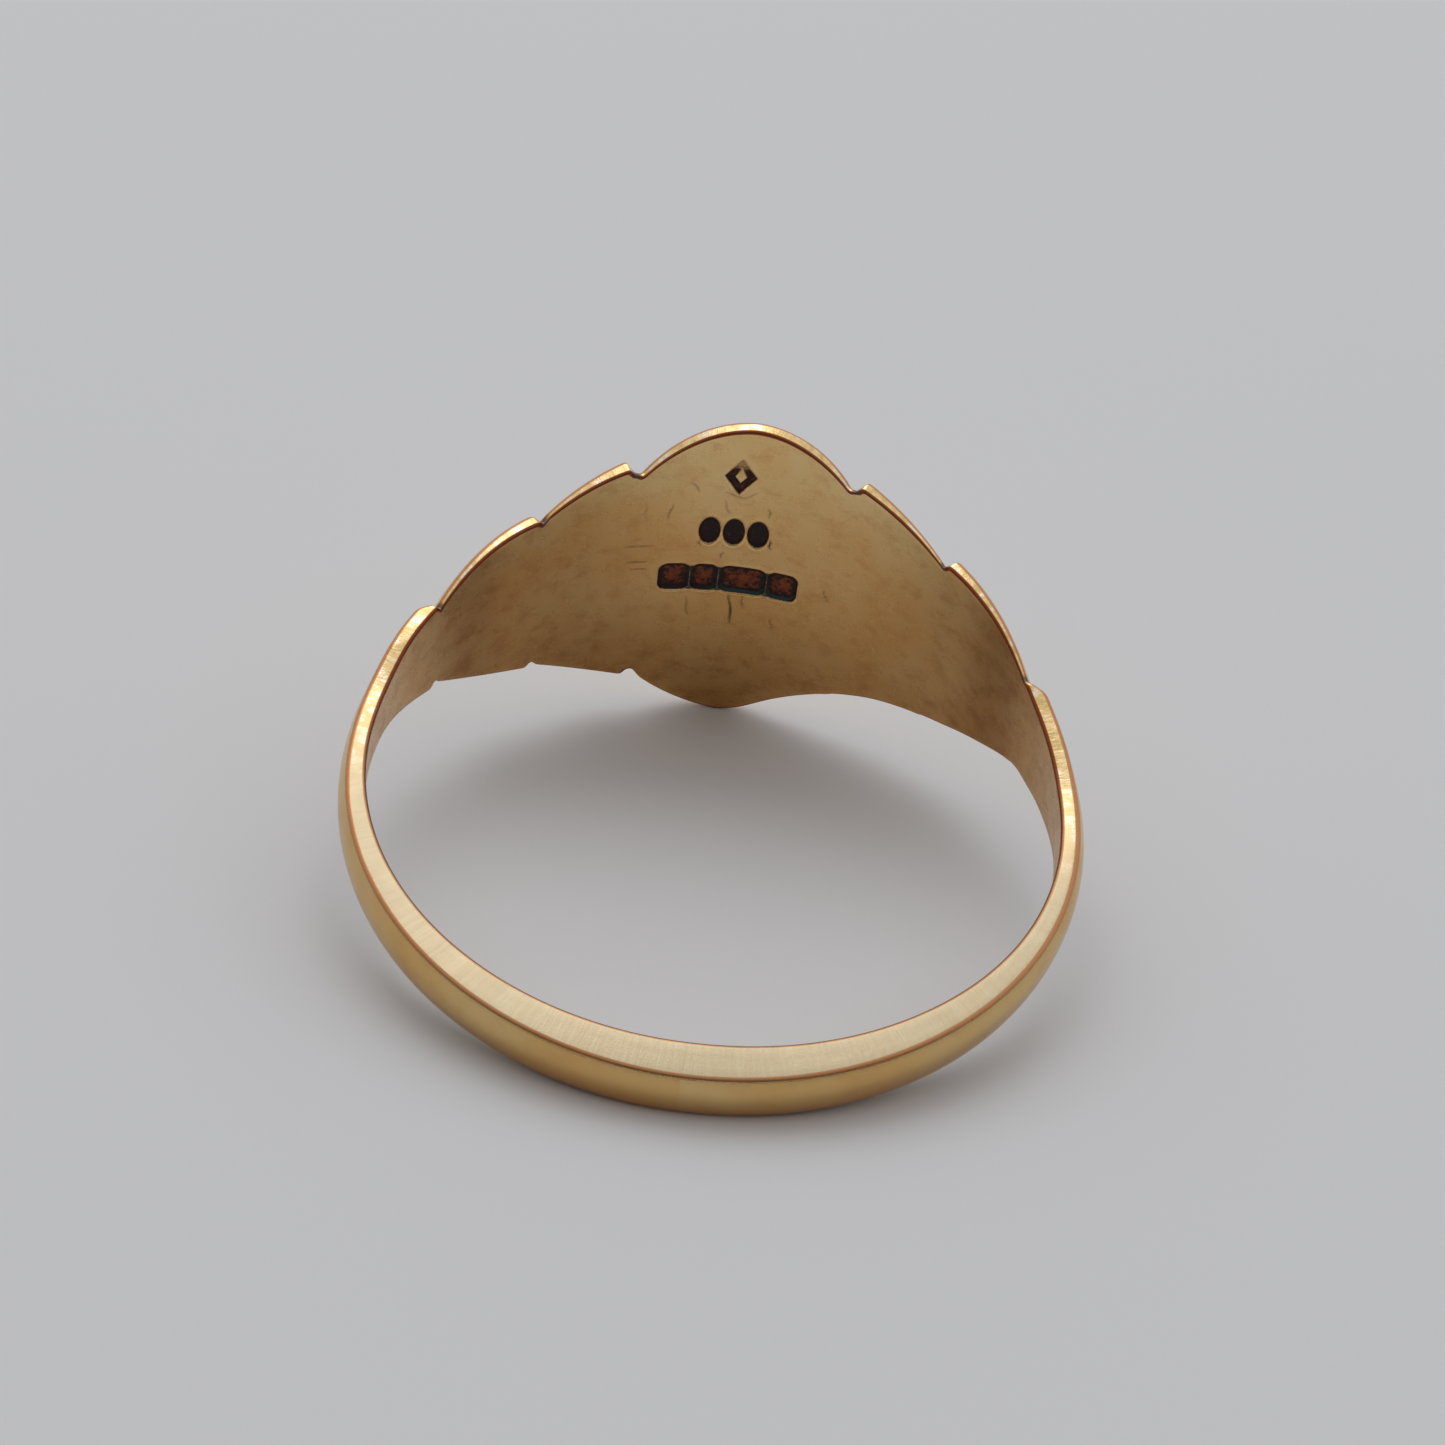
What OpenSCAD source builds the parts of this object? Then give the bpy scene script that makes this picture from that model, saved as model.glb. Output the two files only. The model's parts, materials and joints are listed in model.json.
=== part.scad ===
// Signet ring: an oval signet between two stepped, scalloped shoulders, on a half-round shank.
// Millimetres. The ring lies as it does on a table: the signet's lower tip and the back of the
// shank touch z = 0, +Z is up, the signet is towards +Y and the back of the shank towards -Y.
// Angles run round the finger hole from the middle of the signet, positive towards +X.

/* [Finger hole] */
// Inside diameter of the ring
finger_hole_d = 18.1; // [17:0.1:20]

/* [Signet] */
// Height of the oval signet, along the finger
signet_height = 10.3; // [9.6:0.1:11.2]
// Angle from the middle of the oval to the middle of its side
signet_side_angle = 26.8; // [26:0.1:28]
// Roundness of the oval's outline, where 1 is a diamond and 2 is an ellipse
signet_roundness = 1.8; // [1.6:0.05:2.2]
// Thickness in the middle of the signet
signet_thickness = 0.95; // [0.8:0.05:1.3]
// Thickness of the rim at the top and bottom of the signet
signet_rim = 0.46; // [0.4:0.02:0.6]

/* [Shoulders] */
// Angle of the groove between the signet and the shoulder, at the rim
signet_groove_angle = 18.5; // [17.5:0.1:19.5]
// Angle of the groove between the two lobes, at the rim
lobe_groove_angle = 36.4; // [34:0.1:39]
// Angle of the groove between the shoulder and the shank, at the rim
shank_groove_angle = 58.8; // [56:0.1:62]
// Full width of the first lobe at its high corner
lobe_1_width = 7.6; // [7.2:0.1:8]
// Full width of the first lobe at its low end
lobe_1_end_width = 5.2; // [4.8:0.1:5.6]
// Full width of the second lobe at its high corner
lobe_2_width = 5.5; // [5.2:0.1:5.9]
// Full width of the second lobe at its low end
lobe_2_end_width = 2.7; // [2.4:0.1:3]
// Thickness of the rim at the first lobe's high corner
lobe_1_rim = 0.48; // [0.4:0.02:0.7]
// Thickness of the rim at the second lobe's high corner
lobe_2_rim = 0.42; // [0.36:0.02:0.7]
// Thickness of the rim in the bottom of a groove
groove_rim = 0.25; // [0.2:0.01:0.35]
// Thickness in the middle of a lobe's high side
lobe_thickness = 0.9; // [0.75:0.05:1.1]
// Thickness in the middle of a groove
groove_thickness = 0.5; // [0.4:0.05:0.6]

/* [Shank] */
// Full width where the shank leaves the shoulder
shank_start_width = 3.04; // [2.8:0.02:3.3]
// Full width at the sides of the finger
shank_side_width = 1.44; // [1.2:0.02:1.8]
// Full width at the back of the finger
shank_back_width = 1.66; // [1.2:0.02:1.8]
// Thickness of the side face at the sides of the finger
shank_side_rim = 0.47; // [0.4:0.01:0.8]
// Thickness of the side face at the back of the finger
shank_back_rim = 1.05; // [0.6:0.01:1.2]
// How far the outer face bulges past the side faces
shank_bulge = 0.2; // [0.1:0.01:0.4]
// How far the side faces slope in across the shank at the back of the finger
shank_back_slope = 0.16; // [0:0.01:0.25]

/* [Stamped marks] */
// Depth of the marks stamped inside the signet
mark_depth = 0.12; // [0.05:0.01:0.2]
// Height of each field in the row of plain punches
punch_height = 0.94; // [0.6:0.02:1.2]

/* [Solder] */
// Thickness of a solder joint
solder_gap = 0.1; // [0.06:0.01:0.2]

/* [Hidden] */
$fn = 240;

GOLD = [0.80, 0.64, 0.36];
SOLDER = [0.86, 0.74, 0.50];

bore_r = finger_hole_d / 2;
tip = signet_height / 2;
// How far the blanks reach inside the bore before the finger hole is cut
core_depth = 0.6;
// Angle between a groove's bottom and the high corner beside it
corner_angle = 1.5;
// Half of a solder joint, as an angle round the finger
joint = solder_gap / 2 / bore_r * 180 / PI;
// Angle over which the shank narrows behind the shoulder
flare_angle = 26;
// Angle from which the shank thickens towards the back
thicken_angle = 85;
// The marks: a hollow lozenge, three oval pips and a row of plain punches, one above the other
MARKS_ARC = -0.3;
LOZENGE_Z = 3.5;
LOZENGE_HEIGHT = 1.2;
LOZENGE_WIDTH = 0.84;
PIPS_Z = 1.5;
PIP_HEIGHT = 0.9;
PIP_WIDTH = 0.56;
PIP_SPACING = 0.66;
PUNCH_Z = -0.22;
PUNCH_WIDTHS = [0.9, 0.78, 1.32, 0.88];
PUNCH_CORNER_R = 0.25;
PUNCH_WALL = 0.05;
// Fractions of the half width where a cross-section has its points
ACROSS = [for (k = [-6:6]) sin(15 * k)];

function mix(a, b, s) = a + (b - a) * s;
function ease(s) = s * s * (3 - 2 * s);
function clamp01(s) = min(1, max(0, s));

// Half height of the signet's oval at an angle, and the angle of the oval's side at a height
function oval_half(angle) =
    tip * pow(1 - pow(abs(angle) / signet_side_angle, signet_roundness), 1 / signet_roundness);
function oval_side(z) =
    signet_side_angle * pow(1 - pow(abs(z) / tip, signet_roundness), 1 / signet_roundness);

groove_half = oval_half(signet_groove_angle);
// Bow of a line across the ring that follows the oval's side: 1 in the middle, 0 at the rim
function bow_shape(t) =
    (oval_side(t * groove_half) - signet_groove_angle) / (signet_side_angle - signet_groove_angle);

// A station is one cross-section:
// [angle at the rim, bow in degrees, half width, rim thickness, middle thickness, slope]
signet_bow = signet_side_angle - signet_groove_angle;
lobe_bow = 5.5;
shank_bow = 2.5;
// How far the middle of a lobe's outline bellies out
lobe_1_belly = 0.04;
lobe_2_belly = 0.18;

// Thins the signet's rim towards the grooves
function thinning(angle) = pow(abs(angle) / signet_groove_angle, 4);
function signet_station(angle) = [
    angle,
    signet_bow * angle / signet_groove_angle,
    oval_half(angle),
    mix(signet_rim, groove_rim, thinning(angle)),
    mix(signet_thickness, groove_thickness, thinning(angle)),
    0
];

// From a lobe's high corner to its low end, with a belly in its outline
function lobe_stations(from, to, bows, halves, belly, rim) = [
    for (s = [0:1 / LOBE_STEPS:1.001]) [
        mix(from, to, s),
        mix(bows[0], bows[1], s),
        mix(halves[0], halves[1], s) + belly * 4 * s * (1 - s),
        mix(rim, groove_rim, s),
        mix(lobe_thickness, groove_thickness, pow(s, 1.6)),
        0
    ]
];

function shank_half(angle) =
    let (flare = pow(clamp01(1 - (angle - shank_groove_angle - corner_angle) / flare_angle), 2))
    let (back = ease(clamp01((angle - 90) / 90)))
    mix(shank_side_width, shank_back_width, back) / 2
    + (shank_start_width - shank_side_width) / 2 * flare;
function shank_rim(angle) =
    mix(shank_side_rim, shank_back_rim, ease(clamp01((angle - thicken_angle) / (180 - thicken_angle))));
function shank_station(angle) = [
    angle,
    shank_bow * pow(clamp01(1 - (angle - shank_groove_angle) / flare_angle), 2),
    shank_half(angle),
    shank_rim(angle),
    shank_rim(angle) + shank_bulge,
    shank_back_slope * clamp01((angle - 90) / 90)
];

function groove_station(angle, bow, half) = [angle, bow, half, groove_rim, groove_thickness, 0];

// One point of a cross-section on the outer face, and its partner on the blank's inner face
function ring_point(angle, r, z) = [r * sin(angle), r * cos(angle), z];
function outer_point(c, t) = ring_point(
    c[0] + c[1] * bow_shape(t),
    bore_r + mix(c[4], c[3], t * t),
    t * (c[2] - c[5])
);
function inner_point(c, t) = ring_point(
    c[0] + c[1] * bow_shape(t),
    bore_r - core_depth,
    t * (c[2] + c[5] * core_depth / c[3])
);
function section(c) = concat(
    [for (t = ACROSS) outer_point(c, t)],
    [for (k = [len(ACROSS) - 1:-1:0]) inner_point(c, ACROSS[k])]
);

// A closed strip through its stations, and the same strip with the finger hole cut
module strip(stations) {
    loop = 2 * len(ACROSS);
    last = (len(stations) - 1) * loop;
    points = [for (c = stations) each section(c)];
    sides = [
        for (i = [0:len(stations) - 2]) for (k = [0:loop - 1])
            let (a = i * loop + k, b = i * loop + (k + 1) % loop)
            each [[a, b + loop, b], [a, a + loop, b + loop]]
    ];
    ends = [
        for (k = [0:len(ACROSS) - 2])
            let (a = k, b = k + 1, c = loop - 2 - k, d = loop - 1 - k)
            each [[a, c, d], [a, b, c], [last + a, last + d, last + c], [last + a, last + c, last + b]]
    ];
    polyhedron(points, concat(sides, ends));
}
module finger_hole() {
    cylinder(h = 2 * tip + 2, r = bore_r, center = true);
}
module gold_strip(stations) {
    difference() {
        strip(stations);
        finger_hole();
    }
}

// The ring leans on the signet's lower tip and the back of the shank
back = shank_station(180);
lean = atan((tip - back[2] + back[5]) / (2 * bore_r + back[3]));
function placed_y(p) = p.y * cos(lean) - p.z * sin(lean);
tip_height = bore_r * sin(lean) - tip * cos(lean);
front_y = max([for (t = ACROSS) placed_y(outer_point(signet_station(0), t))]);
back_y = min([for (t = ACROSS) placed_y(outer_point(back, t))]);
module lying() {
    translate([0, -(front_y + back_y) / 2, -tip_height])
        rotate([lean, 0, 0])
            children();
}

// Sections of the signet, from one groove to the other
SIGNET_STEPS = 12;
signet_end = signet_groove_angle - joint;
signet_stations = [
    for (k = [-SIGNET_STEPS:SIGNET_STEPS]) signet_station(signet_end * k / SIGNET_STEPS)
];

// Sections of the right shoulder: the groove beside the signet, then both lobes
LOBE_STEPS = 6;
shoulder_stations = concat(
    [groove_station(signet_groove_angle + joint, signet_bow, groove_half)],
    lobe_stations(
        signet_groove_angle + corner_angle, lobe_groove_angle,
        [signet_bow, lobe_bow], [lobe_1_width, lobe_1_end_width] / 2, lobe_1_belly, lobe_1_rim
    ),
    lobe_stations(
        lobe_groove_angle + corner_angle, shank_groove_angle - joint,
        [lobe_bow, shank_bow], [lobe_2_width, lobe_2_end_width] / 2, lobe_2_belly, lobe_2_rim
    )
);

// Sections of the right half of the shank: the groove, then on to the back
SHANK_STEP = 4;
shank_end = 180 - joint;
shank_stations = concat(
    [groove_station(shank_groove_angle + joint, shank_bow, lobe_2_end_width / 2)],
    [for (angle = [shank_groove_angle + corner_angle:SHANK_STEP:shank_end - SHANK_STEP / 2])
        shank_station(angle)],
    [shank_station(shank_end)]
);

// A solder joint fills the gap between the end sections of the two pieces that it holds
function first(list) = list[0];
function last(list) = list[len(list) - 1];
function other_side(c) = [360 - c[0], -c[1], c[2], c[3], c[4], c[5]];
signet_joint = [last(signet_stations), first(shoulder_stations)];
shank_joint = [last(shoulder_stations), first(shank_stations)];
back_joint = [last(shank_stations), other_side(last(shank_stations))];

// Outlines of the plain marks stamped inside the signet, x round the finger and y along it
module diamond(height, width) {
    polygon([[0, -height / 2], [width / 2, 0], [0, height / 2], [-width / 2, 0]]);
}
module lozenge_mark() {
    difference() {
        diamond(LOZENGE_HEIGHT, LOZENGE_WIDTH);
        diamond(LOZENGE_HEIGHT / 2, LOZENGE_WIDTH / 2);
    }
}
module pip_mark() {
    scale([PIP_WIDTH, PIP_HEIGHT])
        circle(d = 1);
}
module punch_mark(width) {
    r = PUNCH_CORNER_R;
    square([width - 2 * r, punch_height], center = true);
    square([width, punch_height - 2 * r], center = true);
    for (x = [-1, 1]) for (y = [-1, 1])
        translate([x * (width / 2 - r), y * (punch_height / 2 - r)])
            circle(r = r);
}

// Sinks an outline into the wall of the finger hole: arc is how far round the finger, z along it
module stamped(arc, z) {
    rotate([0, 0, -arc / bore_r * 180 / PI])
        translate([0, bore_r + mark_depth, z])
            rotate([90, 0, 0])
                linear_extrude(core_depth)
                    children();
}
function sum_before(list, count) = count == 0 ? 0 : list[count - 1] + sum_before(list, count - 1);
punch_row_length = sum_before(PUNCH_WIDTHS, len(PUNCH_WIDTHS));
module marks() {
    stamped(MARKS_ARC, LOZENGE_Z)
        lozenge_mark();
    for (k = [-1:1])
        stamped(MARKS_ARC + k * PIP_SPACING, PIPS_Z)
            pip_mark();
    for (i = [0:len(PUNCH_WIDTHS) - 1])
        stamped(MARKS_ARC + sum_before(PUNCH_WIDTHS, i) + (PUNCH_WIDTHS[i] - punch_row_length) / 2, PUNCH_Z)
            punch_mark(PUNCH_WIDTHS[i] - PUNCH_WALL);
}

module signet_head() {
    color(GOLD)
        lying()
            difference() {
                gold_strip(signet_stations);
                marks();
            }
}
module shoulder_right() {
    color(GOLD) lying() gold_strip(shoulder_stations);
}
module shoulder_left() {
    color(GOLD) lying() mirror([1, 0, 0]) gold_strip(shoulder_stations);
}
module shank_right() {
    color(GOLD) lying() gold_strip(shank_stations);
}
module shank_left() {
    color(GOLD) lying() mirror([1, 0, 0]) gold_strip(shank_stations);
}
module solder_head_right() {
    color(SOLDER) lying() gold_strip(signet_joint);
}
module solder_head_left() {
    color(SOLDER) lying() mirror([1, 0, 0]) gold_strip(signet_joint);
}
module solder_shank_right() {
    color(SOLDER) lying() gold_strip(shank_joint);
}
module solder_shank_left() {
    color(SOLDER) lying() mirror([1, 0, 0]) gold_strip(shank_joint);
}
module solder_back() {
    color(SOLDER) lying() gold_strip(back_joint);
}

signet_head();
shoulder_left();
shoulder_right();
shank_left();
shank_right();
solder_head_left();
solder_head_right();
solder_shank_left();
solder_shank_right();
solder_back();
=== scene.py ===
import json
import math

import bpy
import numpy as np
from mathutils import Matrix, Vector


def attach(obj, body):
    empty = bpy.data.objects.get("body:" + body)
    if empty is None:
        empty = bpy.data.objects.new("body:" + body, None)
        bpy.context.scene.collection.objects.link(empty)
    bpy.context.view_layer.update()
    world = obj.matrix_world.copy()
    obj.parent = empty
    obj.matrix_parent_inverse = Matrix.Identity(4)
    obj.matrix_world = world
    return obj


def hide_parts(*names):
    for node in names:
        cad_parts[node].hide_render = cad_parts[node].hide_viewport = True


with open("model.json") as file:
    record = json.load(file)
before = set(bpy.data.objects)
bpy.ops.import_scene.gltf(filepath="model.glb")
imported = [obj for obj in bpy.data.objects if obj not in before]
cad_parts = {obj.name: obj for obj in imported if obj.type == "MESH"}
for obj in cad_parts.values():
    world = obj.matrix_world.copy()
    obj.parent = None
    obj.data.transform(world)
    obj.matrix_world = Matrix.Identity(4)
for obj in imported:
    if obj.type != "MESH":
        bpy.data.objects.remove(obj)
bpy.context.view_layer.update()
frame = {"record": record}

# ---------------------------------------------------------------- the ring's own frame
# Millimetres round the finger hole: angle from the middle of the signet, positive towards +X,
# radius r from the hole's axis, and z along the axis, positive at the top edge as it lies.
bore = next(m for m in frame["record"]["mounts"] if m["name"] == "finger_bore")
AXIS = Vector(bore["axis"]).normalized()
SIDE = Vector((1, 0, 0))
FRONT = AXIS.cross(SIDE)
CENTRE = Vector(bore["pos_m"])
BORE_R = bore["dims"]["r_mm"]
MM = 0.001
TURN = np.array([list(SIDE), list(FRONT), list(AXIS)])


def to_world(angle_deg, r, z):
    """Points of the ring's frame, in millimetres, as points of the row frame in metres."""
    a = np.radians(angle_deg)
    local = np.stack([r * np.sin(a), r * np.cos(a), z], axis=-1)
    return local @ TURN * MM + np.array(CENTRE)


# ---------------------------------------------------------------- outline
# Nominal angles of the three grooves, where the solder joints are, and half of a joint
GROOVES = (18.5, 36.4, 58.8)
JOINT = math.degrees(0.1 / 2 / BORE_R)
OVAL_SIDE, OVAL_ROUNDNESS = 26.8, 1.8
CORNER = 1.35          # from a groove's bottom to the high corner beside it, degrees
SIGNET_BOW, LOBE_BOW, SHANK_BOW = OVAL_SIDE - GROOVES[0], 5.5, 2.5
SHANK_HALF_BACK = 0.83
SIGNET_HALF = 5.15     # half of the oval's height, for the line across the ring
NOTCH_RUN = 2.4        # how far before its groove the signet's edge leaves the oval, degrees

# Each edge of the ring, as it has worn: half height of the oval, where the grooves really are and
# how high their bottoms are, then (high corner, low end, belly) of each lobe, and how the shank
# narrows, as (angle, half width)
EDGES = {
    ("right", "top"): dict(
        tip=5.13, grooves=(17.8, 36.1, 59.3), bottoms=(3.82, 2.68, 1.45), groove_rim=0.13,
        lobe_1=(4.00, 2.75, 0.07), lobe_2=(2.86, 1.52, 0.19),
        shank=((60.6, 1.47), (63, 1.31), (66.6, 1.13), (70.8, 0.96), (75.4, 0.77), (80, 0.60),
               (90, 0.52), (110, 0.57), (140, 0.72), (180, SHANK_HALF_BACK)),
        soften=0.22),
    ("left", "top"): dict(
        tip=5.13, grooves=(19.9, 36.2, 58.9), bottoms=(3.53, 2.46, 1.33), groove_rim=0.18,
        lobe_1=(3.72, 2.62, 0.10), lobe_2=(2.58, 1.42, 0.24),
        shank=((60.2, 1.55), (66, 1.42), (69.7, 1.27), (72.8, 1.10), (75.6, 0.94), (78.9, 0.84),
               (84, 0.77), (90, 0.75), (120, 0.78), (180, SHANK_HALF_BACK)),
        soften=0.2),
    ("left", "bottom"): dict(
        tip=5.17, grooves=(17.5, 36.3, 59.2), bottoms=(3.66, 2.58, 1.20), groove_rim=0.22,
        lobe_1=(3.86, 2.72, 0.06), lobe_2=(2.76, 1.32, 0.17),
        shank=((60.5, 1.42), (63, 1.33), (67, 1.15), (72.4, 0.92), (76.8, 0.76), (83, 0.70),
               (90, 0.69), (120, 0.74), (180, SHANK_HALF_BACK)),
        soften=0.3),
    # this edge is worn smooth: its lobes run into each other
    ("right", "bottom"): dict(
        tip=5.17, grooves=GROOVES, bottoms=None, groove_rim=0.25,
        worn=((0, 5.17), (3, 5.04), (5, 4.83), (8.2, 4.49), (12, 4.15), (19, 3.58), (26, 3.17),
              (33, 2.87), (41.5, 2.53), (51, 2.02), (59, 1.49), (62.5, 1.37), (65.3, 1.42),
              (70, 1.34), (76, 1.27), (81, 1.14), (88, 0.91), (96, 0.88), (120, 0.86),
              (180, SHANK_HALF_BACK)),
        soften=0.7),
}
STEP = 0.05
GRID = np.arange(0, 180 + STEP / 2, STEP)


def smoothed(values, degrees):
    """A profile over GRID, blurred along the ring, and mirrored at both ends."""
    reach = int(4 * degrees / STEP) + 1
    k = np.exp(-0.5 * (np.arange(-reach, reach + 1) * STEP / degrees) ** 2)
    padded = np.concatenate([values[reach:0:-1], values, values[-2:-reach - 2:-1]])
    return np.convolve(padded, k / k.sum(), mode="valid")


def lerp(a, b, s):
    return a + (b - a) * s


def smooth01(s):
    s = np.clip(s, 0, 1)
    return s * s * (3 - 2 * s)


def oval_fraction(share):
    """How much of one half axis of the oval is left at that share of the other."""
    return np.maximum(1 - share ** OVAL_ROUNDNESS, 0) ** (1 / OVAL_ROUNDNESS)


def real_angle(edge, nominal):
    """Where this edge has what is nominally at that angle."""
    return np.interp(nominal, (0, 8) + GROOVES + (90, 180), (0, 8) + edge["grooves"] + (90, 180))


def lobe(a, start, end, shape):
    s = np.clip((a - start) / (end - start), 0, 1)
    return lerp(shape[0], shape[1], s) + shape[2] * 4 * s * (1 - s)


def half_height(edge):
    """The edge's distance from the ring's middle plane over GRID, which counts nominal angles."""
    a = real_angle(edge, GRID)
    if edge["bottoms"] is None:
        return smoothed(np.interp(a, *zip(*edge["worn"])), edge["soften"] * 2)
    g, low = edge["grooves"], edge["bottoms"]
    oval = edge["tip"] * oval_fraction(a / OVAL_SIDE)
    h = lerp(oval, low[0], smooth01((a - g[0] + NOTCH_RUN) / NOTCH_RUN))
    for i, shape in enumerate((edge["lobe_1"], edge["lobe_2"])):
        start, end = g[i] + CORNER, g[i + 1]
        on = (a > g[i]) & (a <= g[i + 1])
        rise = smooth01((a - g[i]) / CORNER)
        body = np.minimum(lobe(a, start, end - 0.4, shape), low[i + 1] + 0.22 * (end - a))
        h = np.where(on, lerp(low[i], body, rise), h)
    tail = np.interp(a, *zip(*edge["shank"]))
    h = np.where(a > g[2], lerp(low[2], tail, smooth01((a - g[2]) / CORNER)), h)
    crisp = smoothed(h, edge["soften"])
    return np.where(GRID < 62, crisp, lerp(crisp, smoothed(h, 2.0), smooth01((GRID - 62) / 6)))


# Thicknesses in millimetres: of the side faces, then in the middle of the ring
SIGNET_RIM, SHANK_SIDE_RIM, SHANK_BACK_RIM = 0.46, 0.47, 1.05
SIGNET_CROWN, LOBE_CROWN, GROOVE_CROWN = 0.95, 0.9, 0.5
SHANK_SIDE_CROWN, SHANK_BACK_CROWN = 0.67, 1.25


def stepped(middle, low, corners, power):
    """A thickness over GRID, from the signet's middle over both lobes. It is low in each groove,
    jumps to a corner's value just after it, and falls back along the lobe by that power."""
    t = lerp(middle, low, (GRID / GROOVES[0]) ** 4)
    for start, end, corner in zip(GROOVES, GROOVES[1:], corners):
        s = np.clip((GRID - start - CORNER) / (end - start - CORNER), 0, 1)
        body = lerp(corner, low, s ** power)
        t = np.where(GRID > start, lerp(low, body, smooth01((GRID - start) / CORNER)), t)
    return t


def rim_thickness(edge, corner_1, corner_2):
    """Thickness of the edge's side face over GRID, thin in the grooves."""
    low = edge["groove_rim"]
    t = stepped(SIGNET_RIM, low, (corner_1, corner_2), 1.0)
    shank = lerp(SHANK_SIDE_RIM, SHANK_BACK_RIM, smooth01((GRID - 85) / 95))
    t = np.where(GRID > GROOVES[2], lerp(low, shank, smooth01((GRID - GROOVES[2]) / 3.5)), t)
    return smoothed(t, edge["soften"] * 1.2)


def crown_thickness():
    """Thickness in the middle of the ring over GRID."""
    t = stepped(SIGNET_CROWN, GROOVE_CROWN, (LOBE_CROWN, LOBE_CROWN), 1.6)
    shank = lerp(SHANK_SIDE_CROWN, SHANK_BACK_CROWN, smooth01((GRID - 85) / 95))
    t = np.where(GRID > GROOVES[2],
                 lerp(GROOVE_CROWN, shank, smooth01((GRID - GROOVES[2]) / 2.5)), t)
    return smoothed(t, 0.22)


def bow_profile():
    """How far, in degrees, the middle of the line across the ring runs ahead of its ends."""
    b = SIGNET_BOW * GRID / GROOVES[0]
    b = np.where(GRID > GROOVES[0], np.interp(GRID, GROOVES, (SIGNET_BOW, LOBE_BOW, SHANK_BOW)), b)
    tail = SHANK_BOW * np.clip(1 - (GRID - GROOVES[2]) / 26, 0, 1) ** 2
    return np.where(GRID > GROOVES[2], tail, b)


GROOVE_HALF = 3.55     # half width of the ring at its first groove
PROFILES = {"crown": crown_thickness(), "bow": bow_profile()}
for key, edge in EDGES.items():
    PROFILES[key + ("half",)] = half_height(edge)
    PROFILES[key + ("rim",)] = rim_thickness(edge, 0.48 if key[0] == "left" else 0.44, 0.42)
    PROFILES[key + ("shift",)] = smoothed(real_angle(edge, GRID) - GRID, 1.0)
INNER_ROUND = smoothed(np.interp(GRID, (0, 60, 75, 110, 180), (0.11, 0.10, 0.11, 0.13, 0.15)), 2)
OUTER_ROUND = smoothed(np.interp(GRID, (0, 60, 80, 110, 180), (0.14, 0.12, 0.11, 0.09, 0.07)), 2)
SLOPE = 0.16 * np.clip((GRID - 90) / 90, 0, 1)


def bow_shape(t):
    """1 in the middle of the line across the ring, falling to 0 at its ends."""
    side = OVAL_SIDE * oval_fraction(np.abs(t) * GROOVE_HALF / SIGNET_HALF)
    end = OVAL_SIDE * oval_fraction(GROOVE_HALF / SIGNET_HALF)
    return (side - end) / (OVAL_SIDE - end)


# ---------------------------------------------------------------- marks inside the signet
# Plain stamped marks, x round the finger and z along it: a hollow lozenge, three pips and a row
# of four plain punches with a bead in each
MARKS_X = -0.3
LOZENGE = dict(z=3.5, width=0.84, height=1.2)
PIPS = dict(z=1.5, width=0.56, height=0.9, spacing=0.66)
ROW = dict(z=-0.22, widths=(0.90, 0.78, 1.32, 0.88), height=0.94, wall=0.05, corner=0.25)
MARK_DEPTH = 0.12


# Scratches inside the signet, as (x, z) to (x, z) and how dark
SCRATCHES = (
    (-1.60, 3.25, -1.35, 2.90, 0.5), (-0.65, 2.60, -0.50, 2.20, 0.4), (0.57, 2.50, 0.62, 2.20, 0.5),
    (0.70, 1.40, 0.73, 1.10, 1.0), (-0.55, 0.75, -0.58, 0.55, 0.6), (-0.20, -0.80, -0.07, -1.80, 1.0),
    (0.15, -0.75, 0.20, -1.20, 0.5), (-2.05, 2.45, -2.15, 1.90, 0.5), (-2.83, 2.60, -2.73, 1.90, 0.3),
    (-3.30, 1.00, -2.45, 0.95, 0.5), (-3.15, 0.42, -2.60, 0.38, 0.6), (-3.00, 0.15, -2.55, 0.12, 0.5),
    (-0.66, 2.93, -0.14, 2.76, 0.5), (-0.14, 2.76, 0.20, 3.00, 0.4), (-1.23, 1.15, -1.18, 0.98, 0.7),
    (-1.40, -0.95, -1.30, -1.60, 0.4), (2.37, 0.08, 2.50, -0.27, 0.5), (1.02, -1.45, 1.08, -1.80, 0.5),
    (-0.48, 3.18, -0.26, 2.78, 0.3),
)


def scratched(x, z):
    """How dark the fine scratches are at each place, from 0 to 1."""
    out = np.zeros_like(x)
    for x0, z0, x1, z1, dark in SCRATCHES:
        dx, dz = x1 - x0, z1 - z0
        s = np.clip(((x - x0) * dx + (z - z0) * dz) / (dx * dx + dz * dz), 0, 1)
        sway = 0.02 * np.sin(s * 7 + x0 * 9)
        away = np.hypot(x - x0 - s * dx - sway, z - z0 - s * dz)
        out = np.maximum(out, dark * smooth01(1.25 - away / 0.04) * (0.55 + 0.45 * np.sin(s * math.pi)))
    return out


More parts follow.
